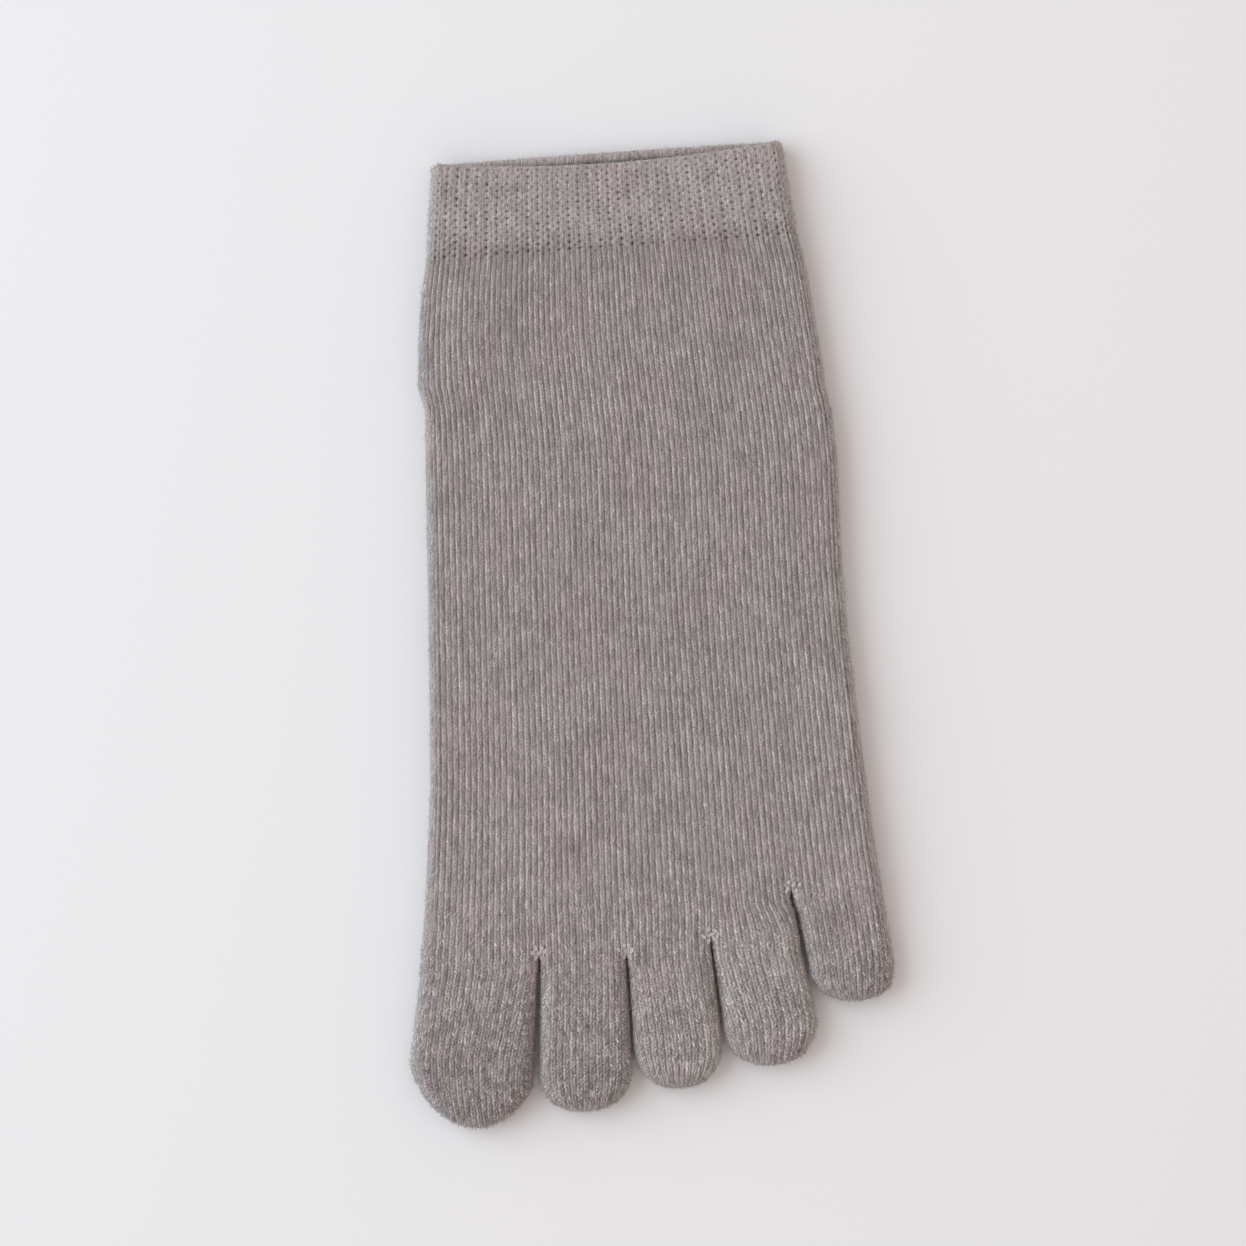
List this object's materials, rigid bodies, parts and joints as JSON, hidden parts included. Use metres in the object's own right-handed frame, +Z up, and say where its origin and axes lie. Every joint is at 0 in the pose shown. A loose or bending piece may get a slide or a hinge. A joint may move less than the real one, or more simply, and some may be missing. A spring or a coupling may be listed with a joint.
{
  "type": "toe sock",
  "caption": "Low-cut knitted toe sock in grey heather yarn, lying flat, with a ribbed cuff and a separate knitted pocket for each toe.",
  "frame": {"origin": "middle of the sock's footprint, on the surface that it lies on", "axes": "+Z up through the instep, +Y from the toes to the cuff, big toe at -X"},
  "size_m": [0.111, 0.2232, 0.0086],
  "materials": {
    "plain_knit": "matte heather grey plain knit",
    "rib_knit": "matte heather grey ribbed knit"
  },
  "bodies": {
    "root": {"cuff": "rib_knit", "foot": "plain_knit", "toe_big": "plain_knit", "toe_second": "plain_knit", "toe_third": "plain_knit", "toe_fourth": "plain_knit", "toe_little": "plain_knit"}
  },
  "joints": []
}
